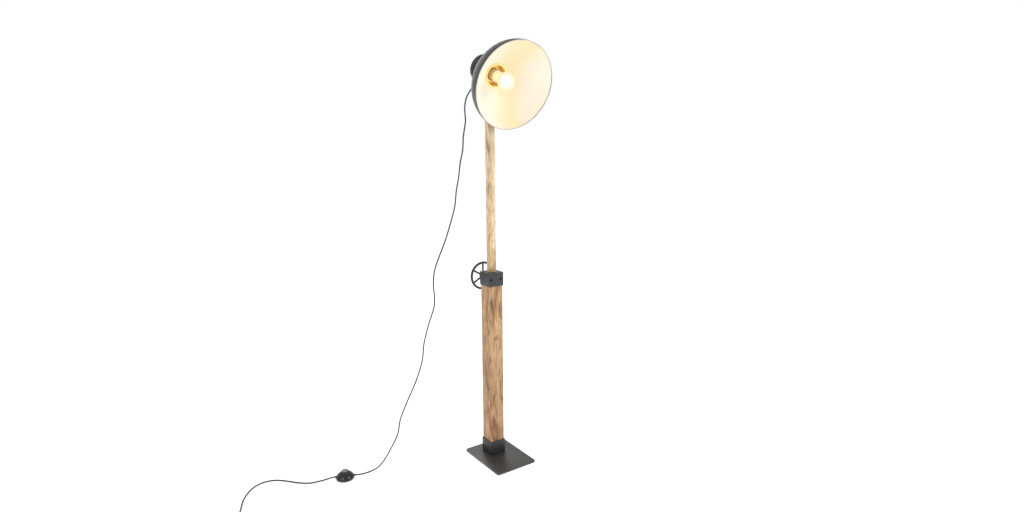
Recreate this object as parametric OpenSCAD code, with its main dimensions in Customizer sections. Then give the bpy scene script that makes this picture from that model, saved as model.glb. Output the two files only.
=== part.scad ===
// Adjustable arm floor lamp: a square wooden mast slides in a square wooden post
// and is clamped by a handwheel. A tilting dome shade sits on top of the mast.
// Millimetres. +Z is up, the shade faces -Y, and the origin is the middle of the
// underside of the base.

/* [Base] */
// Width of the base plate, across the lamp
base_w = 170; // [140:1:260]
// Depth of the base plate, front to back
base_d = 230; // [180:1:320]
// Thickness of the base plate
base_t = 6; // [4:0.5:10]
// Radius of the base plate's corners
base_corner_r = 8; // [2:0.5:20]
// Thickness of the anti-slip pad under the plate
pad_t = 1.5; // [1:0.5:3]
// Distance of the post behind the middle of the plate
post_back = 44; // [0:1:60]

/* [Post] */
// Width of the square wooden post
post_w = 57; // [50:0.5:75]
// Height of the top of the steel collar above the floor
collar_top = 719; // [500:1:900]
// Height of the steel collar
collar_h = 50; // [40:1:80]
// Height of the steel socket above the plate
socket_h = 53; // [40:1:90]
// Wall of the steel socket and collar
steel_wall = 3; // [2:0.5:4]
// Square bore through the post
post_bore = 27.4; // [27.2:0.1:30]

/* [Mast] */
// Width of the square wooden mast
mast_w = 25; // [22:0.5:26.5]
// Length of the wooden mast
mast_len = 800; // [650:1:900]
// Height of the tilt pivot above the floor
pivot_z = 1359; // [1200:1:1500]

/* [Clamp] */
// Outer radius of the handwheel
wheel_r = 54; // [42:1:60]
// Distance of the handwheel's plane behind the post's axis
wheel_back = 60; // [58:1:80]
// Number of handwheel spokes
spoke_count = 6; // [4:1:8]
// Diameter of the clamp screw
clamp_screw_d = 10; // [8:1:12]

/* [Head] */
// Angle of the shade's axis below horizontal
head_tilt = 21; // [0:1:30]
// Radius of the shade's rim
shade_r = 150; // [120:1:165]
// Depth of the shade from rim to neck
shade_depth = 122; // [105:1:130]
// Sheet thickness of the shade
shade_t = 1.2; // [1:0.1:2]
// Radius of the shade's neck opening
neck_r = 45; // [40:0.5:47]
// Radius of the ribbed cap over its ribs
cap_r = 50; // [49:0.5:54]
// Length of the ribbed cap
cap_len = 96; // [80:1:110]
// Number of ribs round the cap
rib_count = 36; // [24:1:48]
// Distance of the head's axis above the tilt pivot
head_rise = 66; // [64:1:75]
// Diameter of the tilt bolt
bolt_d = 6; // [5:0.5:8]

/* [Bulb] */
// Largest diameter of the bulb
bulb_d = 60; // [45:1:66]
// Length of the bulb's glass
bulb_len = 90; // [70:1:95]

/* [Foot switch] */
// Diameter of the foot switch
switch_d = 64; // [56:1:76]
// Height of the foot switch
switch_h = 30; // [24:1:36]
// Travel of the foot switch's button
button_travel = 3; // [2:0.5:4]

/* [Cord] */
// Diameter of the cord
cord_d = 5; // [4.5:0.1:7]

/* [Hidden] */

$fn = 96;

// Named clearances
wood_gap = 0.2;
slide_gap = 0.15;
running_gap = 0.05;
face_gap = 0.05;
free_gap = 0.5;

plate_top = pad_t + base_t;
socket_outer = post_w + 2 * wood_gap + 2 * steel_wall;
post_top = collar_top - steel_wall;
collar_bottom = collar_top - collar_h;
collar_mid = collar_top - collar_h / 2;
post_h = post_top - plate_top;

// Guide bush in a recess at the top of the post
bush_wall = 4.2;
bush_outer = mast_w + 2 * slide_gap + 2 * bush_wall;
bush_h = 43;
bush_bottom = post_top - bush_h;

// Mast, its foot and the fork on its top
mast_top = pivot_z - 15;
mast_bottom = mast_top - mast_len;
mast_foot_h = 28;
mast_foot_w = post_bore - 2 * slide_gap - 0.3;
fork_wall = 2.5;
fork_outer = mast_w + 0.2 + 2 * fork_wall;
fork_sleeve_h = 30;
ear_r = 11;
ear_t = 4;
tongue_t = 6;
washer_t = 1;
ear_inner = tongue_t / 2 + washer_t + 2 * face_gap;

// Clamp parts along the line behind the post
clamp_axis_z = collar_mid;
clamp_pad_d = 14;
clamp_pad_t = 4;
pad_front = mast_w / 2 + face_gap;
boss_d = 22;
boss_len = 16;
hub_d = 22;
hub_len = 14;
wheel_rim_d = 9;
spoke_d = 7;
nut_d = 18;

// Head, drawn along its own axis with the tilt pivot at the origin
rim_z = 143.5;
neck_z = rim_z - shade_depth;
cap_rear_z = neck_z - cap_len;
cap_core_r = cap_r - 3;
cap_wall = 2.4;
cap_inner_r = cap_core_r - cap_wall;
dome_scale = shade_depth / sqrt(1 - pow(neck_r / shade_r, 2));
band_w = 24;
band_z = 0;
gland_z = -20;
gland_turn = 45;
gland_d = 14;
gland_len = 12;
relief_len = 25;
holder_r = 20;
holder_front = 30;
holder_len = 58;
bridge_z = holder_front - holder_len;
bulb_cap_r = 13.2;
bulb_cap_len = 24;
bulb_z = holder_front - 4;

// Foot switch place and direction
switch_place = [-541, 196, 0];
switch_turn = -23;
switch_boss = 35;
switch_cord_z = 8;

// Cord
cord_r = cord_d / 2;
cord_sides = 10;
floor_z = cord_r + 0.1;
coil_place = [-912, 62, 0];
coil_turns_wide = 2;
coil_turns_high = 2;
coil_mid_r = 27.5;
plug_place = [-838, 62, 0];
plug_turn = 115;
plug_len = 38;

// Place of a point of the head's own frame, in the lamp's frame
function head_point(p) = [
    p[0],
    post_back - p[1] * sin(head_tilt) - p[2] * cos(head_tilt),
    pivot_z + p[1] * cos(head_tilt) - p[2] * sin(head_tilt)
];
gland_dir_local = [-sin(gland_turn), -cos(gland_turn), 0];
gland_reach = cap_core_r + gland_len + relief_len;
relief_end = head_point([0, head_rise, gland_z] + gland_reach * gland_dir_local);
relief_dir = [
    gland_dir_local[0],
    -gland_dir_local[1] * sin(head_tilt),
    gland_dir_local[1] * cos(head_tilt)
];
switch_dir = [cos(switch_turn), sin(switch_turn), 0];
inlet = switch_place + switch_boss * switch_dir + [0, 0, switch_cord_z];
outlet = switch_place - switch_boss * switch_dir + [0, 0, switch_cord_z];

// Route of the hanging cord, from the strain relief to the foot switch
drop_route = [
    relief_end, relief_end + 10 * relief_dir,
    [-80, 68, 1340], [-86, 70, 1305], [-84, 70, 1262], [-92, 73, 1209],
    [-95, 74, 1164], [-105, 77, 1114], [-111, 79, 1068], [-120, 82, 1020],
    [-127, 84, 963], [-145, 89, 899], [-164, 95, 840], [-185, 101, 788],
    [-202, 107, 739], [-208, 109, 690], [-205, 109, 640], [-208, 110, 600],
    [-227, 116, 542], [-246, 122, 470], [-255, 125, 402], [-279, 132, 328],
    [-310, 142, 258], [-338, 151, 188], [-349, 155, 132], [-372, 162, 84],
    [-396, 170, 42], [-420, 177, 14], [-448, 181, 4], [-480, 178, 5],
    inlet + 10 * switch_dir, inlet
];
// Route along the floor, from the foot switch to the coil
tail_route = [
    outlet, outlet - 10 * switch_dir,
    [-603, 220, 4], [-628, 225, floor_z], [-650, 229, floor_z], [-668, 239, floor_z],
    [-690, 258, floor_z], [-732, 306, floor_z], [-762, 327, floor_z], [-800, 331, floor_z],
    [-838, 308, floor_z], [-872, 258, floor_z], [-897, 190, floor_z], [-922, 130, floor_z],
    [-940, 90, floor_z], [-940, 64, floor_z]
];
// Short stretch from the coil to the plug
plug_dir = [cos(plug_turn), sin(plug_turn), 0];
plug_rear = plug_place + [0, 0, 8];
lead_route = [
    [-884, 56, floor_z], [-880, 34, floor_z], [-862, 16, floor_z], [-842, 18, 4],
    plug_rear - 14 * plug_dir, plug_rear
];

// Basic shapes
module rounded_square(w, d, r) {
    // Rectangle centred on the origin with round corners
    hull()
        for (x = [-1, 1], y = [-1, 1])
            translate([x * (w / 2 - r), y * (d / 2 - r)]) circle(r = r, $fn = 32);
}

module square_tube(outer, inner, h) {
    difference() {
        linear_extrude(h) square(outer, center = true);
        translate([0, 0, -1]) linear_extrude(h + 2) square(inner, center = true);
    }
}

module at_post() {
    translate([0, post_back, 0]) children();
}

module back_rod(d, from, to, z) {
    // Rod along +Y behind the post's axis
    at_post() translate([0, from, z]) rotate([-90, 0, 0]) cylinder(d = d, h = to - from);
}

module side_rod(d, from, to) {
    // Rod along X through the tilt pivot
    translate([from, post_back, pivot_z]) rotate([0, 90, 0]) cylinder(d = d, h = to - from);
}

module in_head() {
    // From the head's own frame, with its axis along Z, to the lamp's frame
    translate([0, post_back, pivot_z]) rotate([90 + head_tilt, 0, 0]) children();
}

module on_head_axis() {
    in_head() translate([0, head_rise, 0]) children();
}

module wood_screw(d, len, head_d, head_h) {
    // Countersunk screw with its head at the bottom, pointing up
    cylinder(d1 = head_d, d2 = d, h = head_h);
    cylinder(d = d, h = len);
}

module pan_screw(d, len, head_d, head_h) {
    // Slotted pan-head screw pointing down, with its head above z = 0
    difference() {
        cylinder(d = head_d, h = head_h);
        translate([0, 0, head_h - 0.4]) cube([head_d + 2, 1, 1], center = true);
    }
    translate([0, 0, -len]) cylinder(d = d, h = len + 0.01);
}

// Cord tubes: a spline through the route, with rings of points swept along it
function route_at(route, i) = route[max(0, min(len(route) - 1, i))];
function spline_at(route, u) =
    let (i = min(floor(u), len(route) - 2), t = u - i)
    let (a = route_at(route, i - 1), b = route_at(route, i))
    let (c = route_at(route, i + 1), d = route_at(route, i + 2))
    0.5 * (2 * b + (c - a) * t + (2 * a - 5 * b + 4 * c - d) * t * t
        + (3 * b - a - 3 * c + d) * t * t * t);
function unit(v) = v / norm(v);
function along(points, k) =
    let (last = len(points) - 1)
    k == 0 ? points[1] - points[0]
    : k == last ? points[last] - points[last - 1]
    : points[k + 1] - points[k - 1];
function ring_at(p, t, side) =
    let (a = unit(cross(t, side)), b = unit(cross(t, a)))
    [for (j = [0:cord_sides - 1])
        p + cord_r * (cos(360 * j / cord_sides) * a + sin(360 * j / cord_sides) * b)];

module cord_tube(route, rings, side, start_dir, end_dir) {
    top = len(route) - 1;
    points = [for (k = [0:rings - 1]) spline_at(route, top * k / (rings - 1))];
    dirs = [for (k = [0:rings - 1])
        k == 0 ? start_dir : k == rings - 1 ? end_dir : unit(along(points, k))];
    skin = [for (k = [0:rings - 1]) each ring_at(points[k], dirs[k], side)];
    n = cord_sides;
    walls = [for (k = [0:rings - 2], j = [0:n - 1])
        let (a = k * n + j, b = k * n + (j + 1) % n)
        each [[a, b + n, b], [a, a + n, b + n]]];
    first = [for (j = [0:n - 1]) j];
    last = [for (j = [n - 1:-1:0]) (rings - 1) * n + j];
    polyhedron(points = skin, faces = concat(walls, [first], [last]));
}

// Base
module base_pad() {
    color([0.08, 0.08, 0.08])
        linear_extrude(pad_t) rounded_square(base_w - 6, base_d - 6, base_corner_r - 1);
}

module screw_places() {
    // Two screws from below into the post's foot
    for (side = [-1, 1]) translate([side * 20, post_back, pad_t]) children();
}

module base_plate() {
    color([0.16, 0.16, 0.165])
        difference() {
            translate([0, 0, pad_t])
                linear_extrude(base_t) rounded_square(base_w, base_d, base_corner_r);
            screw_places() wood_screw(5, base_t + 1, 10, 2.5);
        }
}

module post_socket() {
    color([0.1, 0.1, 0.105])
        at_post() translate([0, 0, plate_top])
            square_tube(socket_outer, post_w + 2 * wood_gap, socket_h);
}

module base_screws() {
    color([0.6, 0.6, 0.62]) screw_places() wood_screw(5, 42, 10, 2.5);
}

// Post
module lower_post() {
    color([0.58, 0.42, 0.27])
        difference() {
            at_post() translate([0, 0, plate_top]) square_tube(post_w, post_bore, post_h);
            at_post() translate([0, 0, bush_bottom])
                linear_extrude(bush_h + 1) square(bush_outer + 2 * wood_gap, center = true);
            screw_places() cylinder(d = 5, h = 42);
            back_rod(clamp_pad_d + 2, 0, post_w, clamp_axis_z);
            collar_screw_places() translate([0, 0, -14]) cylinder(d = 4, h = 20);
        }
}

module collar_screw_places() {
    // Two screws in the front face of the collar, pointing back
    for (x = [-0.35, 0.3])
        translate([x * socket_outer, post_back - socket_outer / 2, collar_mid])
            rotate([90, 0, 0]) children();
}

module post_collar() {
    color([0.13, 0.13, 0.135])
        difference() {
            at_post() translate([0, 0, collar_bottom]) difference() {
                linear_extrude(collar_h) rounded_square(socket_outer, socket_outer, 2);
                translate([0, 0, -1])
                    linear_extrude(collar_h - steel_wall + 1)
                        square(post_w + 2 * wood_gap, center = true);
                linear_extrude(collar_h + 1) square(mast_w + 2, center = true);
            }
            back_rod(clamp_screw_d + 1, post_w / 2 - 1, socket_outer, clamp_axis_z);
            collar_screw_places() translate([0, 0, -10]) cylinder(d = 4.2, h = 20);
        }
}

module collar_screws() {
    color([0.05, 0.05, 0.05]) collar_screw_places() pan_screw(4, 14, 8, 2);
}

module guide_bush() {
    color([0.1, 0.1, 0.1])
        difference() {
            at_post() translate([0, 0, bush_bottom])
                square_tube(bush_outer, mast_w + 2 * slide_gap, bush_h);
            back_rod(clamp_pad_d + 0.6, 0, post_w, clamp_axis_z);
        }
}

module clamp_boss() {
    color([0.14, 0.14, 0.14])
        difference() {
            back_rod(boss_d, socket_outer / 2, socket_outer / 2 + boss_len, clamp_axis_z);
            back_rod(clamp_screw_d + 2 * running_gap, 0, 2 * post_w, clamp_axis_z);
        }
}

// Clamp
module clamp_pad() {
    color([0.7, 0.55, 0.3])
        back_rod(clamp_pad_d, pad_front, pad_front + clamp_pad_t, clamp_axis_z);
}

module clamp_screw() {
    color([0.5, 0.5, 0.5])
        back_rod(clamp_screw_d, pad_front + clamp_pad_t + face_gap,
            wheel_back + hub_len / 2 + 2, clamp_axis_z);
}

module handwheel() {
    rim_mid = wheel_r - wheel_rim_d / 2;
    color([0.05, 0.05, 0.05])
        at_post() translate([0, wheel_back, clamp_axis_z]) rotate([-90, 0, 0]) {
            difference() {
                rotate_extrude()
                    translate([rim_mid, 0]) circle(d = wheel_rim_d, $fn = 24);
                for (i = [0:23])
                    rotate(15 * i + 7.5) translate([wheel_r + 3.2, 0, -wheel_rim_d])
                        cylinder(r = 4.2, h = 2 * wheel_rim_d, $fn = 24);
            }
            difference() {
                union() {
                    translate([0, 0, -hub_len / 2]) cylinder(d = hub_d, h = hub_len);
                    for (i = [0:spoke_count - 1])
                        rotate(90 + i * 360 / spoke_count) rotate([0, 90, 0])
                            cylinder(d = spoke_d, h = rim_mid, $fn = 24);
                }
                translate([0, 0, -hub_len]) cylinder(d = clamp_screw_d + 0.02, h = 2 * hub_len);
            }
        }
}

module wheel_nut() {
    start = wheel_back + hub_len / 2 + 0.02;
    color([0.45, 0.45, 0.45])
        difference() {
            union() {
                back_rod(nut_d, start, start + 5, clamp_axis_z);
                at_post() translate([0, start + 5, clamp_axis_z]) rotate([-90, 0, 0])
                    cylinder(d1 = nut_d - 4, d2 = 6, h = 5);
            }
            back_rod(clamp_screw_d + 0.02, start - 1, start + 3, clamp_axis_z);
        }
}

// Mast
module mast() {
    color([0.68, 0.52, 0.35])
        difference() {
            at_post() translate([0, 0, mast_bottom])
                linear_extrude(mast_len) square(mast_w, center = true);
            at_post() translate([0, 0, mast_bottom]) cylinder(d = 4, h = 30);
            fork_screw_places() translate([0, 0, -10]) cylinder(d = 3.5, h = 12);
        }
}

module mast_foot() {
    color([0.1, 0.1, 0.1])
        at_post() translate([0, 0, mast_bottom - mast_foot_h])
            difference() {
                linear_extrude(mast_foot_h) rounded_square(mast_foot_w, mast_foot_w, 1.5);
                translate([0, 0, -1]) cylinder(d = 8, h = 1.2);
                translate([0, 0, 0.2]) wood_screw(4, mast_foot_h + 1, 8, 2);
            }
}

module foot_screw() {
    color([0.6, 0.6, 0.62])
        at_post() translate([0, 0, mast_bottom - mast_foot_h + 0.2])
            wood_screw(4, mast_foot_h + 20, 8, 2);
}

module fork_screw_places() {
    // Two screws through the back and front of the fork's sleeve
    for (turn = [0, 180])
        at_post() rotate(turn)
            translate([0, fork_outer / 2, mast_top - fork_sleeve_h / 2])
                rotate([-90, 0, 0]) children();
}

module mast_fork() {
    color([0.12, 0.12, 0.125])
        difference() {
            union() {
                at_post() translate([0, 0, mast_top - fork_sleeve_h])
                    square_tube(fork_outer, mast_w + 0.2, fork_sleeve_h);
                at_post() translate([0, 0, mast_top])
                    linear_extrude(2.5) square(fork_outer, center = true);
                for (side = [-1, 1])
                    translate([side * (ear_inner + ear_t / 2), post_back, 0]) {
                        translate([-ear_t / 2, -ear_r, mast_top + 1])
                            cube([ear_t, 2 * ear_r, pivot_z - mast_top - 1]);
                        translate([-ear_t / 2, 0, pivot_z]) rotate([0, 90, 0])
                            cylinder(r = ear_r, h = ear_t);
                    }
            }
            side_rod(bolt_d + 0.02, -30, 30);
            fork_screw_places() translate([0, 0, -4]) cylinder(d = 3.5, h = 8);
        }
}

module fork_screws() {
    color([0.5, 0.5, 0.5]) fork_screw_places() pan_screw(3.5, 10, 7, 2);
}

module tilt_bolt() {
    ear_outer = ear_inner + ear_t;
    color([0.5, 0.5, 0.5]) {
        side_rod(bolt_d, -ear_outer - 0.01, ear_outer + 11);
        side_rod(bolt_d + 5, -ear_outer - 4, -ear_outer);
    }
}

module tilt_knob() {
    // The wings stay short enough to turn clear of the fork's plate
    start = ear_inner + ear_t + face_gap;
    wing_root = 4;
    wing_reach = 11;
    color([0.06, 0.06, 0.06])
        difference() {
            union() {
                side_rod(13, start, start + 14);
                for (side = [0, 180])
                    translate([start + 6, post_back, pivot_z]) rotate([side + 60, 0, 0])
                        translate([0, -2.5, wing_root]) cube([7, 5, wing_reach - wing_root]);
            }
            side_rod(bolt_d + 2 * running_gap, start - 1, start + 12);
        }
}

// Head
module head_bracket() {
    // Ring round the cap, with a tongue down to the tilt pivot
    drop = head_rise - cap_core_r;
    color([0.12, 0.12, 0.125])
        difference() {
            union() {
                on_head_axis() translate([0, 0, band_z - band_w / 2]) difference() {
                    cylinder(r = cap_r - 0.3, h = band_w);
                    translate([0, 0, -1]) cylinder(r = cap_core_r + 0.02, h = band_w + 2);
                }
                in_head() rotate([0, 90, 0]) translate([0, 0, -tongue_t / 2]) {
                    cylinder(r = ear_r - 1, h = tongue_t);
                    translate([-8, 0, 0]) cube([16, drop - 1.5, tongue_t]);
                }
            }
            side_rod(bolt_d + 2 * running_gap, -30, 30);
            cap_screw_places() translate([0, 0, -5]) cylinder(d = 4, h = 10);
        }
}

module tilt_washers() {
    color([0.35, 0.3, 0.25])
        for (side = [-1, 1])
            difference() {
                side_rod(18, side > 0 ? tongue_t / 2 + face_gap : -tongue_t / 2 - face_gap - washer_t,
                    side > 0 ? tongue_t / 2 + face_gap + washer_t : -tongue_t / 2 - face_gap);
                side_rod(bolt_d + 2 * running_gap, -30, 30);
            }
}

module cap_screw_places() {
    // Two screws through the ring into the cap, either side of the tongue
    for (turn = [-30, 30])
        on_head_axis() translate([0, 0, band_z]) rotate([0, 0, turn])
            translate([0, -cap_r + 0.3, 0]) rotate([90, 0, 0]) children();
}

module cap_shell() {
    rib_w = 4;
    rear_len = band_z - band_w / 2 - cap_rear_z;
    color([0.05, 0.05, 0.055])
        difference() {
            on_head_axis() difference() {
                union() {
                    translate([0, 0, cap_rear_z]) cylinder(r = cap_core_r, h = cap_len);
                    for (i = [0:rib_count - 1])
                        rotate(i * 360 / rib_count)
                            translate([cap_core_r - 1, -rib_w / 2, cap_rear_z + 2])
                                cube([cap_r - cap_core_r + 1, rib_w, rear_len - 2.3]);
                }
                translate([0, 0, cap_rear_z + 4]) cylinder(r = cap_inner_r, h = cap_len);
                gland_hole(9);
            }
            cap_screw_places() translate([0, 0, -8]) cylinder(d = 4, h = 12);
        }
}

module gland_hole(d) {
    translate([0, 0, gland_z]) rotate([0, 0, -gland_turn]) rotate([90, 0, 0])
        cylinder(d = d, h = cap_r + 5);
}

module cap_screws() {
    color([0.5, 0.5, 0.5]) cap_screw_places() pan_screw(4, 5, 7, 2);
}

module neck_liner() {
    // Brass cup in the neck, with a hole for the lamp holder
    liner_r = cap_inner_r - 0.2;
    color([0.8, 0.62, 0.3])
        on_head_axis() rotate_extrude() polygon([
            [holder_r + 2, neck_z - 22], [liner_r, neck_z - 22], [liner_r, neck_z - 0.5],
            [liner_r - 1, neck_z - 0.5], [liner_r - 1, neck_z - 21], [holder_r + 2, neck_z - 21]
        ]);
}

module bridge_screw_places() {
    for (side = [-1, 1])
        on_head_axis() translate([side * 32, 0, bridge_z]) children();
}

module holder_bridge() {
    color([0.6, 0.6, 0.6])
        difference() {
            on_head_axis() translate([0, 0, bridge_z - 3]) intersection() {
                cylinder(r = cap_inner_r - 0.3, h = 3);
                translate([-50, -12, 0]) cube([100, 24, 3]);
            }
            bridge_screw_places() translate([0, 0, -10]) cylinder(d = 4, h = 20);
        }
}

module bridge_screws() {
    color([0.7, 0.7, 0.7]) bridge_screw_places() pan_screw(4, 8, 7, 2);
}

module lampholder() {
    color([0.85, 0.83, 0.78])
        on_head_axis() translate([0, 0, bridge_z]) difference() {
            cylinder(r = holder_r, h = holder_len);
            translate([0, 0, 18]) cylinder(r = bulb_cap_r + 1.4, h = holder_len);
        }
}

module screw_shell() {
    color([0.75, 0.6, 0.3])
        on_head_axis() translate([0, 0, holder_front - 28]) difference() {
            cylinder(r = bulb_cap_r + 1.3, h = 22);
            translate([0, 0, -1]) cylinder(r = bulb_cap_r + 0.3, h = 24);
        }
}

module centre_contact() {
    low = bridge_z + 18;
    color([0.8, 0.65, 0.35])
        on_head_axis() translate([0, 0, low])
            cylinder(r = 3, h = bulb_z - bulb_cap_len - 3 - low - 0.1);
}

// Bulb
module bulb_cap() {
    color([0.7, 0.7, 0.7])
        on_head_axis() translate([0, 0, bulb_z - bulb_cap_len]) {
            difference() {
                cylinder(r = bulb_cap_r, h = bulb_cap_len);
                translate([0, 0, 2]) cylinder(r = bulb_cap_r - 0.6, h = bulb_cap_len);
            }
            translate([0, 0, -3]) cylinder(r1 = 4, r2 = 9, h = 3.01);
        }
}

// Outline of the bulb: a ball at the far end that narrows to the neck
function bulb_radius(z) =
    let (ball = bulb_d / 2, centre = bulb_len - ball, neck = bulb_cap_r - 0.7)
    z >= centre ? sqrt(max(0, ball * ball - (z - centre) * (z - centre)))
    : neck + (ball - neck) * (1 - pow(cos(90 * z / centre), 1.6));
function bulb_side(inset, low, high, steps) =
    [for (k = [0:steps])
        let (z = low + (high - low) * sin(90 * k / steps))
        [max(0, bulb_radius(z) - (k == steps ? 0 : inset)), z]];

module bulb_glass() {
    glass = 0.8;
    color([1, 0.97, 0.85, 0.9])
        on_head_axis() translate([0, 0, bulb_z]) rotate_extrude() difference() {
            polygon(concat([[0, -3], [bulb_cap_r - 0.7, -3]], bulb_side(0, 0, bulb_len, 20)));
            polygon(concat([[0, -4], [bulb_cap_r - 1.5, -4]],
                bulb_side(glass, 0, bulb_len - glass - 0.5, 20), [[0, bulb_len - glass - 0.5]]));
        }
}

module bulb_stem() {
    color([0.9, 0.9, 0.9, 0.6])
        on_head_axis() translate([0, 0, bulb_z - 3]) {
            difference() {
                cylinder(r = bulb_cap_r - 1.6, h = 2);
                translate([0, 0, -1]) cylinder(r = 2, h = 2);
            }
            cylinder(r = 4, h = 14);
            cylinder(r = 1.5, h = 40);
        }
}

module bulb_filament() {
    color([1, 0.85, 0.5])
        on_head_axis() translate([0, 0, bulb_z + 37.1])
            rotate_extrude() translate([12, 0]) circle(r = 1, $fn = 16);
}

// Shade
function dome_radius(s, inset) =
    let (a = dome_scale - inset, b = shade_r - inset)
    b * sqrt(max(0, 1 - pow(s / a, 2)));
dome_steps = 22;
shade_split = shade_depth / 2;
function dome_side(inset, low, high) =
    [for (k = [0:dome_steps])
        let (s = low + (high - low) * sin(90 * k / dome_steps))
        [dome_radius(s, inset), rim_z - s]];

module shade() {
    // Front half of the dome, with the rolled rim; the crown carries on behind it
    outer = dome_side(0, 0, shade_split);
    inner = dome_side(shade_t, 0, shade_split);
    color([0.14, 0.14, 0.14])
        on_head_axis() {
            rotate_extrude() polygon(concat(
                outer,
                [for (k = [dome_steps:-1:0]) inner[k]]
            ));
            translate([0, 0, rim_z]) rotate_extrude()
                translate([shade_r - 1.5, 0]) circle(r = 1.5, $fn = 20);
        }
}

module shade_crown() {
    // Rear half of the dome, down to the neck flange
    outer = dome_side(0, shade_split, shade_depth);
    inner = dome_side(shade_t, shade_split, shade_depth - shade_t);
    flange = cap_core_r - cap_wall;
    color([0.14, 0.14, 0.14])
        on_head_axis() rotate_extrude() polygon(concat(
            outer,
            [[neck_r, neck_z], [flange - 4, neck_z], [flange - 4, neck_z + shade_t]],
            [for (k = [dome_steps:-1:0]) inner[k]]
        ));
}

module shade_ring() {
    // Threaded ring that holds the shade's neck against the cap
    color([0.75, 0.6, 0.3])
        on_head_axis() translate([0, 0, neck_z + shade_t + 0.02]) difference() {
            cylinder(r = neck_r - 1.8, h = 1.4);
            translate([0, 0, -1]) cylinder(r = neck_r - 9, h = 4);
        }
}

// Cord exit
module cord_gland() {
    color([0.06, 0.06, 0.06])
        on_head_axis() translate([0, 0, gland_z]) rotate([0, 0, -gland_turn]) rotate([90, 0, 0])
            difference() {
                union() {
                    translate([0, 0, cap_r + 0.2])
                        cylinder(d = gland_d, h = cap_core_r + gland_len - cap_r - 0.2);
                    translate([0, 0, cap_inner_r - 3])
                        cylinder(d = 8.9, h = cap_r - cap_inner_r + 3.3);
                }
                translate([0, 0, -1]) cylinder(d = cord_d, h = 2 * cap_r);
            }
}

module strain_relief() {
    color([0.06, 0.06, 0.06])
        on_head_axis() translate([0, 0, gland_z]) rotate([0, 0, -gland_turn]) rotate([90, 0, 0])
            translate([0, 0, cap_core_r + gland_len + 0.02])
                cylinder(d1 = 10, d2 = cord_d + 1, h = relief_len - 0.02);
}

module cord_drop() {
    color([0.12, 0.12, 0.13])
        cord_tube(drop_route, 60, [0.306, 0.952, 0], relief_dir, -switch_dir);
}

// Foot switch
module at_switch() {
    translate(switch_place) rotate(switch_turn) children();
}

module switch_base() {
    color([0.04, 0.04, 0.04])
        at_switch() {
            cylinder(d = switch_d - 2, h = 3);
            for (side = [-1, 1])
                translate([side * 14, 0, 0]) cylinder(d = 6, h = 14);
        }
}

// Outline of the dome from its foot to its top
function switch_side(r, h, steps) =
    [for (k = [0:steps]) [r * cos(90 * k / steps * 0.92), h * sin(90 * k / steps * 0.92)]];

module switch_cover() {
    r = switch_d / 2;
    h = switch_h - 4;
    color([0.03, 0.03, 0.03])
        at_switch() difference() {
            union() {
                translate([0, 0, 3.05]) rotate_extrude()
                    polygon(concat([[0, 0]], switch_side(r, h - 3, 14), [[0, (h - 3) * sin(82.8)]]));
                for (side = [-1, 1])
                    translate([0, 0, switch_cord_z]) rotate([0, side * 90, 0])
                        cylinder(d = cord_d + 3, h = switch_boss);
            }
            translate([0, 0, 3]) rotate_extrude()
                polygon(concat([[0, -1], [r - 2.2, -1]], switch_side(r - 2.2, h - 5.2, 14),
                    [[0, (h - 5.2) * sin(82.8)]]));
            cylinder(d = switch_d * 0.44 + 2 * free_gap, h = 60);
        }
}

module switch_button() {
    button_d = switch_d * 0.44;
    color([0.05, 0.05, 0.05])
        at_switch() {
            translate([0, 0, switch_h - 10]) cylinder(d = button_d, h = 7);
            translate([0, 0, switch_h - 3]) cylinder(d1 = button_d, d2 = button_d - 4, h = 3);
        }
}

module switch_spring() {
    color([0.6, 0.6, 0.6])
        at_switch() translate([0, 0, 3.1]) difference() {
            cylinder(d = 10, h = switch_h - 10 - button_travel - 3.3);
            translate([0, 0, -1]) cylinder(d = 7, h = 40);
        }
}

// Floor stretch, coil and plug
module cord_tail() {
    color([0.12, 0.12, 0.13]) cord_tube(tail_route, 28, [0, 0, 1], -switch_dir, [0, -1, 0]);
}

module cord_coil() {
    w = coil_turns_wide * cord_d;
    h = coil_turns_high * cord_d;
    color([0.12, 0.12, 0.13])
        translate(coil_place) rotate_extrude()
            translate([coil_mid_r - w / 2, 0.1]) square([w, h]);
}

module cord_tie() {
    w = coil_turns_wide * cord_d;
    h = coil_turns_high * cord_d;
    color([0.05, 0.05, 0.05])
        translate(coil_place) translate([0, coil_mid_r, 0]) difference() {
            translate([-4, -w / 2 - 1.6, 0]) cube([8, w + 3.2, h + 1.6]);
            translate([-5, -w / 2 - 0.6, -1]) cube([10, w + 1.2, h + 1.3]);
        }
}

module cord_lead() {
    color([0.12, 0.12, 0.13]) cord_tube(lead_route, 12, [0, 0, 1], [0, -1, 0], plug_dir);
}

module at_plug() {
    translate(plug_rear) rotate(plug_turn) children();
}

module plug_body() {
    color([0.05, 0.05, 0.05])
        at_plug() {
            rotate([0, 90, 0]) cylinder(d1 = cord_d + 2, d2 = 10, h = 14);
            translate([13, -7, -7]) cube([12, 14, 14]);
            translate([24, -17, -7.5]) cube([14, 34, 15]);
        }
}

module plug_pins() {
    color([0.7, 0.7, 0.7])
        at_plug() for (side = [-1, 1])
            translate([plug_len, side * 9.5, 0]) rotate([0, 90, 0]) cylinder(d = 4, h = 19);
}

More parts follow.
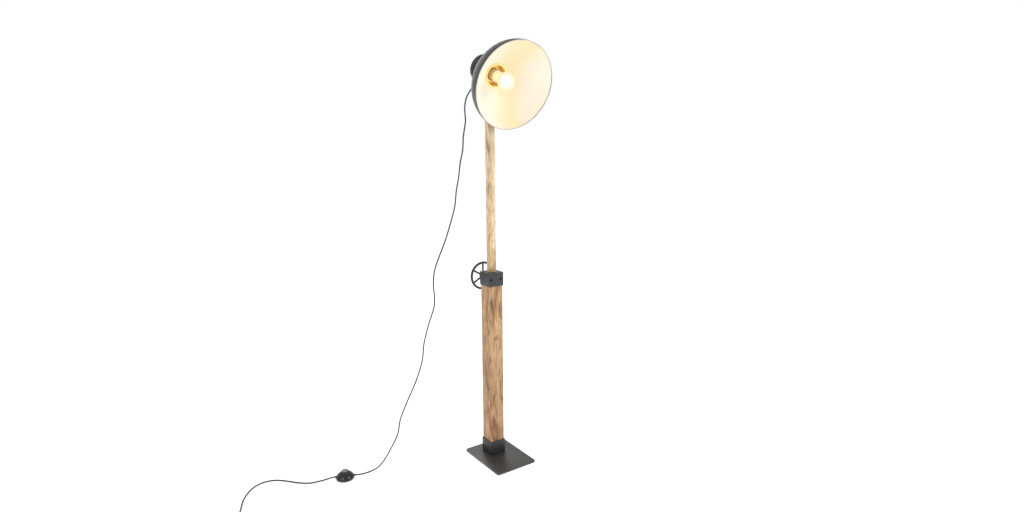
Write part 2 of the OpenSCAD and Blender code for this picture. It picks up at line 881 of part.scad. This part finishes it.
base_pad();
base_plate();
post_socket();
base_screws();
lower_post();
post_collar();
collar_screws();
guide_bush();
clamp_boss();
clamp_pad();
clamp_screw();
handwheel();
wheel_nut();
mast();
mast_foot();
foot_screw();
mast_fork();
fork_screws();
tilt_bolt();
tilt_knob();
head_bracket();
tilt_washers();
cap_shell();
cap_screws();
neck_liner();
holder_bridge();
bridge_screws();
lampholder();
screw_shell();
centre_contact();
bulb_cap();
bulb_glass();
bulb_stem();
bulb_filament();
shade();
shade_crown();
shade_ring();
cord_gland();
strain_relief();
cord_drop();
switch_base();
switch_cover();
switch_button();
switch_spring();
cord_tail();
cord_coil();
cord_tie();
cord_lead();
plug_body();
plug_pins();
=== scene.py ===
"""Looks of the adjustable arm floor lamp: materials, detailed pieces, cords, light and camera.

Metres, in the CAD frame: +Z up, the shade faces -Y, the origin is under the base's middle.
"""
import math

import bpy
import bmesh
from mathutils import Matrix, Vector


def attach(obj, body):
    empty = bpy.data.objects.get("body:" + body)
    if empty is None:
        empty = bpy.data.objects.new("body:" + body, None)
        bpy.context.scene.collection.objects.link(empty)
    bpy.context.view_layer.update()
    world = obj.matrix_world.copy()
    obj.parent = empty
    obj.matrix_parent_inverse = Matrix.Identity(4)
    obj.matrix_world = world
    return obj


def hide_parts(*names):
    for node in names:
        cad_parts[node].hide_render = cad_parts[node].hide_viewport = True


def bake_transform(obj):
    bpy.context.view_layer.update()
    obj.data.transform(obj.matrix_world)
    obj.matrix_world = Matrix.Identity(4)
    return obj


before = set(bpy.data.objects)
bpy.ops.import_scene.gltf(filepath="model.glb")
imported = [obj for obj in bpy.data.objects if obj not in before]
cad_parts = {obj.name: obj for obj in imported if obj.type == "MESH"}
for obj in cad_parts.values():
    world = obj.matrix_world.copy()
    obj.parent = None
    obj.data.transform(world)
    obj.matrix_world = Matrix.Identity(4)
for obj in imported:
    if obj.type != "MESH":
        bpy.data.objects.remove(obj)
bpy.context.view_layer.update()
POST_BACK = 0.044
TILT = math.radians(21)
PIVOT = Vector((0, POST_BACK, 1.359))
HEAD_RISE = 0.066


# ---------- frame of the head ----------

def head_matrix():
    """The head's own frame: origin on its axis beside the tilt pivot, and Z out of the shade."""
    turn = Matrix.Rotation(math.radians(90) + TILT, 4, "X")
    return Matrix.Translation(PIVOT) @ turn @ Matrix.Translation((0, HEAD_RISE, 0))


HEAD = head_matrix()


# ---------- camera ----------

def make_camera():
    distance, azimuth, height = 2.174, math.radians(-33.57), 1.177
    pitch, yaw, roll = math.radians(10.27), math.radians(-1.34), math.radians(-0.36)
    data = bpy.data.cameras.new("camera")
    data.sensor_width = 36
    data.lens = 21.45
    data.clip_end = 50
    cam = bpy.data.objects.new("camera", data)
    bpy.context.scene.collection.objects.link(cam)
    cam.location = (distance * math.sin(azimuth), -distance * math.cos(azimuth), height)
    a = azimuth + yaw
    forward = Vector((-math.sin(a) * math.cos(pitch), math.cos(a) * math.cos(pitch),
                      -math.sin(pitch)))
    right = Vector((math.cos(a), math.sin(a), 0))
    up = right.cross(forward)
    side = math.cos(roll) * right + math.sin(roll) * up
    top = -math.sin(roll) * right + math.cos(roll) * up
    basis = Matrix((side, top, -forward)).transposed()
    cam.matrix_world = Matrix.Translation(cam.location) @ basis.to_4x4()
    bpy.context.scene.camera = cam


make_camera()


# ---------- materials ----------

def socket(shader, name, value):
    if name in shader.inputs:
        shader.inputs[name].default_value = value


class Paint:
    """A node material that is built up from noise, bump and colour ramps."""

    def __init__(self, name, colour, roughness=0.5, metallic=0.0):
        self.material = bpy.data.materials.new(name)
        self.material.use_nodes = True
        self.tree = self.material.node_tree
        self.shader = self.tree.nodes["Principled BSDF"]
        socket(self.shader, "Base Color", (*colour, 1))
        socket(self.shader, "Roughness", roughness)
        socket(self.shader, "Metallic", metallic)
        self.place = self.tree.nodes.new("ShaderNodeTexCoord").outputs["Object"]

    def node(self, kind, **values):
        n = self.tree.nodes.new(kind)
        for key, value in values.items():
            n.inputs[key].default_value = value
        return n

    def link(self, a, b):
        self.tree.links.new(a, b)

    def stretched(self, scale):
        n = self.tree.nodes.new("ShaderNodeMapping")
        n.inputs["Scale"].default_value = scale
        self.link(self.place, n.inputs["Vector"])
        return n.outputs["Vector"]

    def noise(self, scale, detail=4.0, stretch=(1, 1, 1), distortion=0.0):
        n = self.node("ShaderNodeTexNoise", Scale=scale, Detail=detail, Distortion=distortion)
        self.link(self.stretched(stretch), n.inputs["Vector"])
        return n.outputs["Fac"]

    def ramp(self, factor, stops):
        n = self.tree.nodes.new("ShaderNodeValToRGB")
        while len(n.color_ramp.elements) < len(stops):
            n.color_ramp.elements.new(0.5)
        for element, (position, colour) in zip(n.color_ramp.elements, stops):
            element.position = position
            element.color = (*colour, 1)
        self.link(factor, n.inputs["Fac"])
        return n.outputs["Color"]

    def span(self, factor, low, high):
        n = self.node("ShaderNodeMapRange")
        n.inputs["To Min"].default_value = low
        n.inputs["To Max"].default_value = high
        self.link(factor, n.inputs["Value"])
        return n.outputs["Result"]

    def mix(self, factor, a, b, blend="MIX"):
        n = self.tree.nodes.new("ShaderNodeMix")
        n.data_type = "RGBA"
        n.blend_type = blend
        if isinstance(factor, float):
            n.inputs["Factor"].default_value = factor
        else:
            self.link(factor, n.inputs["Factor"])
        self.link(a, n.inputs["A"])
        self.link(b, n.inputs["B"])
        return n.outputs["Result"]

    def colour(self, output):
        self.link(output, self.shader.inputs["Base Color"])

    def rough(self, output):
        self.link(output, self.shader.inputs["Roughness"])

    def bump(self, height, strength=0.2, distance=0.001):
        n = self.node("ShaderNodeBump", Strength=strength, Distance=distance)
        self.link(height, n.inputs["Height"])
        self.link(n.outputs["Normal"], self.shader.inputs["Normal"])


def coated(name, colour, roughness, grain=900.0, strength=0.12, metallic=0.0, wear=0.25):
    """Paint, plastic or plate: fine grain, slow colour drift and uneven roughness."""
    p = Paint(name, colour, roughness, metallic)
    dark = tuple(c * (1 - wear) for c in colour)
    light = tuple(min(1, c * (1 + wear)) for c in colour)
    p.colour(p.ramp(p.noise(14, 5), [(0.3, dark), (0.7, light)]))
    p.rough(p.span(p.noise(60, 4), roughness - 0.07, roughness + 0.09))
    p.bump(p.noise(grain, 2), strength, 0.0004)
    return p.material


def wood(name, dark, middle, light, seed):
    """Oiled mango wood: swirling grain, dark veins and cracks, pores and slow colour drift."""
    p = Paint(name, middle, 0.55)
    shift = p.tree.nodes.new("ShaderNodeMapping")
    shift.inputs["Location"].default_value = (seed, seed * 0.7, seed * 0.3)
    p.link(p.place, shift.inputs["Vector"])
    p.place = shift.outputs["Vector"]
    swirl = p.noise(16, 7, (1, 1, 0.3), 2.6)
    fine = p.noise(150, 6, (1, 1, 0.1), 1.0)
    patch = p.noise(11, 4, (1, 1, 0.45), 1.4)
    crack = p.noise(26, 5, (1, 1, 0.22), 3.4)
    base = p.ramp(swirl, [(0.32, dark), (0.46, middle), (0.62, light)])
    streak = p.ramp(fine, [(0.3, (0.6, 0.55, 0.5)), (0.58, (1.0, 1.0, 1.0))])
    drift = p.ramp(patch, [(0.34, (0.66, 0.56, 0.46)), (0.66, (1.0, 1.0, 0.98))])
    veins = p.ramp(crack, [(0.485, (1.0, 1.0, 1.0)), (0.5, (0.3, 0.22, 0.16)),
                           (0.515, (1.0, 1.0, 1.0))])
    grain = p.mix(1.0, p.mix(1.0, base, streak, "MULTIPLY"), drift, "MULTIPLY")
    p.colour(p.mix(0.75, grain, p.mix(1.0, grain, veins, "MULTIPLY")))
    p.rough(p.span(fine, 0.42, 0.66))
    p.bump(fine, 0.25, 0.0006)
    return p.material


def shade_paint():
    """Satin charcoal paint of the dome's outside."""
    p = Paint("shade_paint", (0.04, 0.039, 0.037), 0.5)
    p.colour(p.ramp(p.noise(10, 5), [(0.3, (0.03, 0.029, 0.028)), (0.7, (0.052, 0.05, 0.047))]))
    p.rough(p.span(p.noise(70, 4), 0.4, 0.58))
    p.bump(p.noise(700, 2), 0.1, 0.0003)
    return p.material


def cream_glow():
    """Cream enamel with the bulb's light painted on: it glows, with a painted yellow band of warm light
    across it.
    """
    p = Paint("cream_enamel_painted_glow", (0.5, 0.47, 0.4), 0.45)
    across = p.tree.nodes.new("ShaderNodeSeparateXYZ")
    p.link(p.place, across.inputs["Vector"])
    share = p.node("ShaderNodeMapRange")
    share.inputs["From Min"].default_value = -0.15
    share.inputs["From Max"].default_value = 0.15
    p.link(across.outputs["X"], share.inputs["Value"])
    drift = p.span(p.noise(7, 2), -0.1, 0.1)
    # Painted light: a yellow band of the bulb's warm light across the inside, placed by X with a little
    # noise.
    painted_light_band = p.tree.nodes.new("ShaderNodeMath")
    painted_light_band.operation = "ADD"
    p.link(share.outputs["Result"], painted_light_band.inputs[0])
    p.link(drift, painted_light_band.inputs[1])
    cream = (1.0, 0.945, 0.87)
    glow = p.ramp(painted_light_band.outputs["Value"], [(0.0, cream), (0.42, (1.0, 0.93, 0.81)),
                                          (0.58, (0.97, 0.84, 0.57)), (0.72, (0.95, 0.82, 0.52)),
                                          (0.82, (1.0, 0.89, 0.74)), (1.0, cream)])
    p.colour(p.mix(0.5, glow, p.ramp(p.noise(9, 3), [(0.3, (0.2, 0.17, 0.12)), (0.7, (0.24, 0.2, 0.14))])))
    # Painted light: the enamel emits the band's colour, standing in for the bulb's light falling on it.
    p.link(glow, p.shader.inputs["Emission Color"])
    socket(p.shader, "Emission Strength", 0.3)
    p.rough(p.span(p.noise(80, 3), 0.4, 0.52))
    p.bump(p.noise(500, 2), 0.05, 0.0003)
    return p.material


def lit(name, colour, strength):
    """Something that glows, a little unevenly."""
    p = Paint(name, colour, 0.4)
    tone = p.ramp(p.noise(30, 2), [(0.3, colour), (0.7, tuple(min(1, c * 1.05) for c in colour))])
    p.link(tone, p.shader.inputs["Emission Color"])
    p.colour(tone)
    socket(p.shader, "Emission Strength", strength)
    return p.material


def hot_bulb():
    """Frosted bulb: white-hot where it faces the viewer, and creamy towards its outline."""
    p = Paint("bulb_glow", (0.22, 0.19, 0.13), 0.4)
    facing = p.tree.nodes.new("ShaderNodeLayerWeight")
    facing.inputs["Blend"].default_value = 0.5
    tone = p.ramp(facing.outputs["Facing"], [(0.1, (1.0, 1.0, 0.98)), (0.5, (0.86, 0.74, 0.48))])
    p.link(tone, p.shader.inputs["Emission Color"])
    p.link(p.span(p.noise(20, 2), 0.7, 0.95), p.shader.inputs["Emission Strength"])
    return p.material


def brass(name, colour, strength, roughness=0.28):
    """Polished brass, with a painted glow standing in for the bulb's light on it wherever the strength is
    above nought.
    """
    p = Paint(name, colour, roughness, 0.85)
    tone = p.ramp(p.noise(40, 4), [(0.3, tuple(c * 0.8 for c in colour)), (0.7, colour)])
    p.colour(tone)
    # Painted light: the brass emits its own tone, standing in for the bulb's light on the neck liner and
    # ring.
    p.link(tone, p.shader.inputs["Emission Color"])
    socket(p.shader, "Emission Strength", strength)
    p.rough(p.span(p.noise(120, 3), roughness - 0.06, roughness + 0.1))
    p.bump(p.noise(400, 2), 0.06, 0.0003)
    return p.material


STEEL = coated("black_steel", (0.022, 0.022, 0.023), 0.45)
PLATE = coated("plate_steel", (0.036, 0.035, 0.034), 0.4, 600)
IRON = coated("cast_iron_black", (0.028, 0.028, 0.03), 0.45, 350, 0.35)
ZINC = coated("zinc_plate", (0.5, 0.5, 0.52), 0.3, 800, 0.08, 1.0, 0.12)
SCREW = coated("black_screw", (0.012, 0.012, 0.012), 0.35, 900, 0.1, 0.6)
PLASTIC = coated("black_plastic", (0.02, 0.02, 0.021), 0.5)
RIBBED = coated("ribbed_black", (0.018, 0.018, 0.019), 0.4)
GLOSS = coated("gloss_black", (0.008, 0.008, 0.009), 0.13, 300, 0.02)
NYLON = coated("nylon", (0.05, 0.05, 0.05), 0.55)
FOAM = coated("foam_rubber", (0.03, 0.03, 0.03), 0.85, 500, 0.5)
FLEX = coated("flex_black", (0.02, 0.02, 0.022), 0.5, 800, 0.15)
CERAMIC = coated("glazed_ivory", (0.8, 0.72, 0.5), 0.3, 300, 0.03)
METAL_CAP = coated("cap_metal", (0.7, 0.7, 0.7), 0.25, 500, 0.05, 1.0, 0.1)
PINS = coated("pin_nickel", (0.72, 0.7, 0.68), 0.18, 400, 0.04, 1.0, 0.1)
POST_WOOD = wood("post_wood", (0.2, 0.1, 0.045),
                 (0.48, 0.285, 0.14), (0.62, 0.41, 0.22), 1.3)
MAST_WOOD = wood("mast_wood", (0.56, 0.42, 0.26),
                 (0.86, 0.69, 0.45), (0.95, 0.8, 0.56), 4.1)
SHADE_OUT = shade_paint()
SHADE_IN = cream_glow()
RIM = coated("rim_enamel", (0.42, 0.39, 0.37), 0.45)
LINER = brass("liner_brass_painted_glow", (0.7, 0.43, 0.13), 0.32)
RING = brass("ring_brass_painted_glow", (0.78, 0.56, 0.23), 0.34)
CONTACT = brass("contact_brass", (0.8, 0.55, 0.2), 0.0)
BULB = hot_bulb()
BULB_NECK = lit("bulb_neck_glow", (0.95, 0.74, 0.34), 0.75)
STEM = lit("stem_glow", (0.9, 0.85, 0.75), 1.0)
FILAMENT = lit("filament_glow", (1.0, 0.8, 0.45), 8.0)

NODE_PAINT = {
    "base_pad": FOAM, "post_socket": STEEL, "base_screws": ZINC, "post_collar": STEEL,
    "collar_screws": SCREW, "guide_bush": NYLON, "clamp_boss": STEEL, "clamp_pad": CONTACT,
    "clamp_screw": ZINC, "wheel_nut": ZINC, "mast_foot": NYLON, "foot_screw": ZINC,
    "mast_fork": STEEL, "fork_screws": SCREW, "tilt_bolt": ZINC, "tilt_knob": PLASTIC,
    "head_bracket": STEEL, "tilt_washers": NYLON, "cap_shell": RIBBED, "cap_screws": SCREW,
    "neck_liner": LINER, "holder_bridge": ZINC, "bridge_screws": ZINC, "lampholder": CERAMIC,
    "screw_shell": CONTACT, "centre_contact": CONTACT, "bulb_cap": METAL_CAP,
    "bulb_glass": BULB, "bulb_stem": STEM, "bulb_filament": FILAMENT,
    "shade": SHADE_OUT, "shade_crown": SHADE_OUT, "shade_ring": RING,
    "cord_gland": PLASTIC, "strain_relief": PLASTIC,
    "switch_base": PLASTIC, "switch_cover": GLOSS, "switch_button": GLOSS,
    "switch_spring": ZINC, "cord_tie": PLASTIC, "plug_body": PLASTIC, "plug_pins": PINS,
    "base_plate": PLATE, "lower_post": POST_WOOD, "mast": MAST_WOOD, "handwheel": IRON,
    "cord_drop": FLEX, "cord_tail": FLEX, "cord_coil": FLEX, "cord_lead": FLEX,
}


def paint_nodes():
    for name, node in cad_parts.items():
        node.data.materials.clear()
        node.data.materials.append(NODE_PAINT[name])


paint_nodes()


# ---------- mesh helpers ----------

def new_object(name, mesh, materials, body, replaced):
    obj = bpy.data.objects.new(name, mesh)
    bpy.context.scene.collection.objects.link(obj)
    for m in materials:
        mesh.materials.append(m)
    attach(obj, body)
    if replaced:
        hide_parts(*replaced)
    return obj


def smooth(mesh, angle=35):
    for p in mesh.polygons:
        p.use_smooth = True
    mesh.set_sharp_from_angle(angle=math.radians(angle))


def bevelled_copy(name, node, width, segments, body, material, angle=30):
    """The CAD node's own shape with small round edges, a little inside its faces."""
    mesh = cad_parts[node].data.copy()
    mesh.materials.clear()
    bm = bmesh.new()
    bm.from_mesh(mesh)
    bmesh.ops.remove_doubles(bm, verts=bm.verts, dist=1e-6)
    bmesh.ops.dissolve_limit(bm, angle_limit=math.radians(1), verts=bm.verts, edges=bm.edges)
    sharp = [e for e in bm.edges
             if len(e.link_faces) == 2 and e.calc_face_angle(0) > math.radians(angle)]
    bmesh.ops.bevel(bm, geom=sharp, offset=width, segments=segments, affect="EDGES",
                    clamp_overlap=True, profile=0.5)
    bm.to_mesh(mesh)
    bm.free()
    mesh.name = name
    smooth(mesh, 40)
    return new_object(name, mesh, [material], body, [node])


def revolve(profile, steps, material_of=None):
    """A closed skin turned about Z from a profile of (radius, z) points that runs round once."""
    bm = bmesh.new()
    rows = []
    for k in range(steps):
        a = 2 * math.pi * k / steps
        rows.append([bm.verts.new((r * math.cos(a), r * math.sin(a), z)) for r, z in profile])
    n = len(profile)
    for k in range(steps):
        nxt = rows[(k + 1) % steps]
        for i in range(n):
            face = bm.faces.new((rows[k][i], nxt[i], nxt[(i + 1) % n], rows[k][(i + 1) % n]))
            if material_of:
                face.material_index = material_of(i)
    bmesh.ops.remove_doubles(bm, verts=bm.verts, dist=1e-7)
    bmesh.ops.recalc_face_normals(bm, faces=bm.faces)
    return bm


def to_mesh(bm, name, place=None):
    mesh = bpy.data.meshes.new(name)
    if place is not None:
        bm.transform(place)
    bm.to_mesh(mesh)
    bm.free()
    return mesh


# ---------- cords ----------

def head_point(x, y, z):
    return HEAD @ Vector((x, y, z))


CORD_R = 0.0025
FLOOR = 0.0026
GLAND_Z = -0.020
GLAND_TURN = math.radians(45)
CAP_SIDE, GLAND_LENGTH, RELIEF_LENGTH = 0.047, 0.012, 0.025
RELIEF_REACH = CAP_SIDE + GLAND_LENGTH + RELIEF_LENGTH
RELIEF_END = head_point(-RELIEF_REACH * math.sin(GLAND_TURN),
                        -RELIEF_REACH * math.cos(GLAND_TURN), GLAND_Z)
RELIEF_DIR = (RELIEF_END - head_point(0, 0, GLAND_Z)).normalized()
SWITCH = Vector((-0.541, 0.196, 0))
SWITCH_TURN = math.radians(-23)
SWITCH_DIR = Vector((math.cos(SWITCH_TURN), math.sin(SWITCH_TURN), 0))
SWITCH_HALF = 0.035
SWITCH_HOLES = Vector((0, 0, 0.008))
INLET = SWITCH + SWITCH_HALF * SWITCH_DIR + SWITCH_HOLES
OUTLET = SWITCH - SWITCH_HALF * SWITCH_DIR + SWITCH_HOLES
DROP_ROUTE = [
    RELIEF_END, RELIEF_END + 0.010 * RELIEF_DIR,
    (-0.080, 0.068, 1.340), (-0.086, 0.070, 1.305), (-0.084, 0.070, 1.262),
    (-0.092, 0.073, 1.209), (-0.095, 0.074, 1.164), (-0.105, 0.077, 1.114),
    (-0.111, 0.079, 1.068), (-0.120, 0.082, 1.020), (-0.127, 0.084, 0.963),
    (-0.145, 0.089, 0.899), (-0.164, 0.095, 0.840), (-0.185, 0.101, 0.788),
    (-0.202, 0.107, 0.739), (-0.208, 0.109, 0.690), (-0.205, 0.109, 0.640),
    (-0.208, 0.110, 0.600), (-0.227, 0.116, 0.542), (-0.246, 0.122, 0.470),
    (-0.255, 0.125, 0.402), (-0.279, 0.132, 0.328), (-0.310, 0.142, 0.258),
    (-0.338, 0.151, 0.188), (-0.349, 0.155, 0.132), (-0.372, 0.162, 0.084),
    (-0.396, 0.170, 0.042), (-0.420, 0.177, 0.014), (-0.448, 0.181, 0.004),
    (-0.480, 0.178, 0.005), INLET + 0.010 * SWITCH_DIR, INLET,
]
TAIL_ROUTE = [
    OUTLET, OUTLET - 0.010 * SWITCH_DIR, (-0.603, 0.220, 0.004), (-0.628, 0.225, FLOOR),
    (-0.650, 0.229, FLOOR), (-0.668, 0.239, FLOOR), (-0.690, 0.258, FLOOR),
    (-0.732, 0.306, FLOOR), (-0.762, 0.327, FLOOR), (-0.800, 0.331, FLOOR),
    (-0.838, 0.308, FLOOR), (-0.872, 0.258, FLOOR), (-0.897, 0.190, FLOOR),
    (-0.922, 0.130, FLOOR), (-0.940, 0.090, FLOOR),
]
PLUG_REAR = Vector((-0.838, 0.062, 0.008))
PLUG_TURN = math.radians(115)
PLUG_DIR = Vector((math.cos(PLUG_TURN), math.sin(PLUG_TURN), 0))
COIL = Vector((-0.912, 0.062, 0))


def spline(points, per_span):
    """Points along a smooth curve through the route, ends included."""
    pts = [Vector(p) for p in points]
    ends = [pts[0]] + pts + [pts[-1]]
    found = []
    for i in range(len(pts) - 1):
        a, b, c, d = ends[i:i + 4]
        for k in range(per_span):
            t = k / per_span
            found.append(0.5 * (2 * b + (c - a) * t + (2 * a - 5 * b + 4 * c - d) * t * t
                                + (3 * b - a - 3 * c + d) * t * t * t))
    return found + [pts[-1]]


def tube(path, radius, sides, side):
    """A closed mesh tube along the path."""
    bm = bmesh.new()
    rings = []
    for k, p in enumerate(path):
        ahead = path[min(k + 1, len(path) - 1)] - path[max(k - 1, 0)]
        a = ahead.normalized().cross(side).normalized()
        b = ahead.normalized().cross(a)
        rings.append([bm.verts.new(p + radius * (math.cos(2 * math.pi * j / sides) * a
                                                 + math.sin(2 * math.pi * j / sides) * b))
                      for j in range(sides)])
    for r, s in zip(rings, rings[1:]):
        for j in range(sides):
            bm.faces.new((r[j], r[(j + 1) % sides], s[(j + 1) % sides], s[j]))
    bm.faces.new(rings[0])
    bm.faces.new(rings[-1])
    bmesh.ops.recalc_face_normals(bm, faces=bm.faces)
    for face in bm.faces:
        face.smooth = len(face.verts) == 4
    return bm


def coil_path():
    """Four turns of the coil, in a stack two wide and two high."""
    turns = []
    per_turn = 28
    middle = 0.0275
    easing = 0.3
    outside, inside, upper = middle + CORD_R, middle - CORD_R, FLOOR + 2 * CORD_R
    lanes = [(outside, FLOOR), (inside, FLOOR), (inside, upper), (outside, upper)]
    total = len(lanes) * per_turn
    for k in range(total + 1):
        lane = k / per_turn
        i = min(int(lane), len(lanes) - 1)
        share = lane - i
        nxt = lanes[min(i + 1, len(lanes) - 1)]
        blend = max(0.0, (share - (1 - easing)) / easing)
        blend = blend * blend * (3 - 2 * blend)
        r = lanes[i][0] * (1 - blend) + nxt[0] * blend
        z = lanes[i][1] * (1 - blend) + nxt[1] * blend
        a = math.pi + 2 * math.pi * lane
        turns.append(COIL + Vector((r * math.cos(a), r * math.sin(a), z)))
    return turns


def cord_object(name, path, side):
    mesh = to_mesh(tube(path, CORD_R, 14, side), name)
    mesh.materials.append(FLEX)
    obj = bpy.data.objects.new(name, mesh)
    bpy.context.scene.collection.objects.link(obj)
    return obj


def make_cords():
    drop_path = spline(DROP_ROUTE, 6)
    split_height = 1.22
    split = next(k for k, p in enumerate(drop_path) if p.z < split_height)
    hang = Vector((0.306, 0.952, 0))
    upper_path, lower_path = drop_path[:split + 1], drop_path[split:]
    upper = cord_object("flex_upper", upper_path, hang)
    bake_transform(upper)
    drop = cord_object("flex_hanging", lower_path, hang)
    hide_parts("cord_drop")
    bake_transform(drop)
    turns = coil_path()
    tail_path = spline(TAIL_ROUTE + [turns[0]], 6)
    floor_path = tail_path + turns[1:]
    last = Vector(turns[-1])
    out = [last, last + Vector((0.004, -0.016, -0.0005)), Vector((-0.930, 0.020, 0.006)),
           Vector((-0.905, 0.014, 0.004)), Vector((-0.878, 0.012, 0.0035)),
           Vector((-0.852, 0.014, 0.005)), PLUG_REAR - 0.018 * PLUG_DIR, PLUG_REAR]
    floor_path = floor_path + spline(out, 6)[1:]
    flex = cord_object("flex_floor", floor_path, Vector((0, 0, 1)))
    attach(flex, "stand")
    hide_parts("cord_tail", "cord_coil", "cord_lead")

    def length(path):
        return sum((b - a).length for a, b in zip(path, path[1:]))


make_cords()


# ---------- detailed pieces ----------

RIM_Z = 0.1435
SHADE_R, SHADE_DEPTH, NECK_R, SHEET = 0.150, 0.122, 0.045, 0.0012
NECK_Z = RIM_Z - SHADE_DEPTH
DOME_A = SHADE_DEPTH / math.sqrt(1 - (NECK_R / SHADE_R) ** 2)


def dome(inset, depth, steps):
    """Profile of the dome from the rim back to the given depth."""
    points = []
    for k in range(steps + 1):
        s = depth * math.sin(math.pi / 2 * k / steps)
        r = (SHADE_R - inset) * math.sqrt(max(0, 1 - (s / (DOME_A - inset)) ** 2))
        points.append((r, RIM_Z - s))
    return points


def make_shade():
    """One seamless dome: outside, neck flange, inside and rolled rim, each with its paint."""
    steps = 40
    outer = dome(0.0, SHADE_DEPTH, steps)
    inner = dome(SHEET, SHADE_DEPTH - SHEET, steps)
    flange = 0.0406
    bead = 0.0015
    lip = [(SHADE_R - bead + bead * math.cos(a), RIM_Z + bead * math.sin(a))
           for a in (math.pi * k / 8 for k in range(1, 8))]
    profile = outer + [(flange, NECK_Z), (flange, NECK_Z + SHEET)] + inner[::-1] + lip[::-1]
    first_inner = len(outer) + 1
    last_inner = first_inner + len(inner) + 1

    rim = last_inner - 2

    def side(i):
        if first_inner <= i < rim:
            return 1
        return 2 if i >= rim else 0

    mesh = to_mesh(revolve(profile, 160, side), "shade_dome", HEAD)
    smooth(mesh, 50)
    new_object("shade_dome", mesh, [SHADE_OUT, SHADE_IN, RIM], "head",
               ["shade", "shade_crown"])


def make_bulb():
    """Lit pear-shaped bulb, closed at its neck."""
    ball, length, neck = 0.030, 0.090, 0.0125
    base = 0.026
    tuck = 0.003
    golden_rows = 12
    centre = length - ball
    side = [(neck, -tuck)]
    for k in range(15):
        z = centre * k / 14
        side.append((neck + (ball - neck) * (1 - math.cos(math.pi / 2 * z / centre) ** 1.6), z))
    for k in range(1, 17):
        a = math.pi / 2 * k / 16
        side.append((ball * math.cos(a), centre + ball * math.sin(a)))
    profile = [(0, -tuck)] + side[:-1] + [(0, length)]
    bm = revolve(profile, 96, lambda i: 1 if i < golden_rows else 0)
    mesh = to_mesh(bm, "bulb_envelope", HEAD @ Matrix.Translation((0, 0, base)))
    smooth(mesh, 60)
    new_object("bulb_envelope", mesh, [BULB, BULB_NECK], "head", ["bulb_glass"])


make_shade()
make_bulb()
bevelled_copy("plate_rounded", "base_plate", 0.0012, 3, "stand", PLATE)
bevelled_copy("post_rounded", "lower_post", 0.0015, 3, "stand", POST_WOOD, 60)
bevelled_copy("mast_rounded", "mast", 0.0010, 3, "mast", MAST_WOOD, 60)
bevelled_copy("socket_rounded", "post_socket", 0.0006, 2, "stand", STEEL)
bevelled_copy("collar_rounded", "post_collar", 0.0006, 2, "stand", STEEL, 50)


def smooth_nodes():
    """Round CAD faces read as round: shading only, the vertices stay as they are."""
    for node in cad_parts.values():
        smooth(node.data, 32)


smooth_nodes()


# ---------- stage and light ----------

def make_floor():
    mesh = bpy.data.meshes.new("floor")
    bm = bmesh.new()
    bmesh.ops.create_grid(bm, x_segments=1, y_segments=1, size=30)
    bm.to_mesh(mesh)
    bm.free()
    floor = bpy.data.objects.new("floor", mesh)
    bpy.context.scene.collection.objects.link(floor)
    floor.location = (0, 0, -0.0002)
    m = bpy.data.materials.new("floor_paper")
    m.use_nodes = True
    tree = m.node_tree
    shader = tree.nodes["Principled BSDF"]
    socket(shader, "Base Color", (0.93, 0.93, 0.93, 1))
    socket(shader, "Roughness", 0.9)
    socket(shader, "Specular IOR Level", 0.0)
    socket(shader, "Emission Color", (1, 1, 1, 1))
    socket(shader, "Emission Strength", 0.42)
    mesh.materials.append(m)


def make_world():
    world = bpy.data.worlds.new("world")
    bpy.context.scene.world = world
    world.use_nodes = True
    tree = world.node_tree
    soft = tree.nodes["Background"]
    soft.inputs["Color"].default_value = (1, 1, 1, 1)
    soft.inputs["Strength"].default_value = 0.75
    white = tree.nodes.new("ShaderNodeBackground")
    white.inputs["Color"].default_value = (1, 1, 1, 1)
    white.inputs["Strength"].default_value = 1.0
    path = tree.nodes.new("ShaderNodeLightPath")
    mix = tree.nodes.new("ShaderNodeMixShader")
    tree.links.new(path.outputs["Is Camera Ray"], mix.inputs["Fac"])
    tree.links.new(soft.outputs["Background"], mix.inputs[1])
    tree.links.new(white.outputs["Background"], mix.inputs[2])
    tree.links.new(mix.outputs["Shader"], tree.nodes["World Output"].inputs["Surface"])


def area_light(name, place, target, size, power):
    data = bpy.data.lights.new(name, "AREA")
    data.size = size
    data.energy = power
    light = bpy.data.objects.new(name, data)
    bpy.context.scene.collection.objects.link(light)
    light.location = place
    look = Vector(target) - Vector(place)
    light.rotation_mode = "QUATERNION"
    light.rotation_quaternion = look.to_track_quat("-Z", "Y")


make_floor()
make_world()
area_light("key", (1.6, -2.6, 2.4), (0, 0, 0.8), 1.6, 45)
area_light("fill", (-2.8, -1.2, 1.8), (0, 0, 0.8), 2.0, 22)
area_light("back", (0.6, 2.6, 2.2), (0, 0, 0.9), 1.8, 20)
bpy.context.scene.view_settings.view_transform = "Standard"
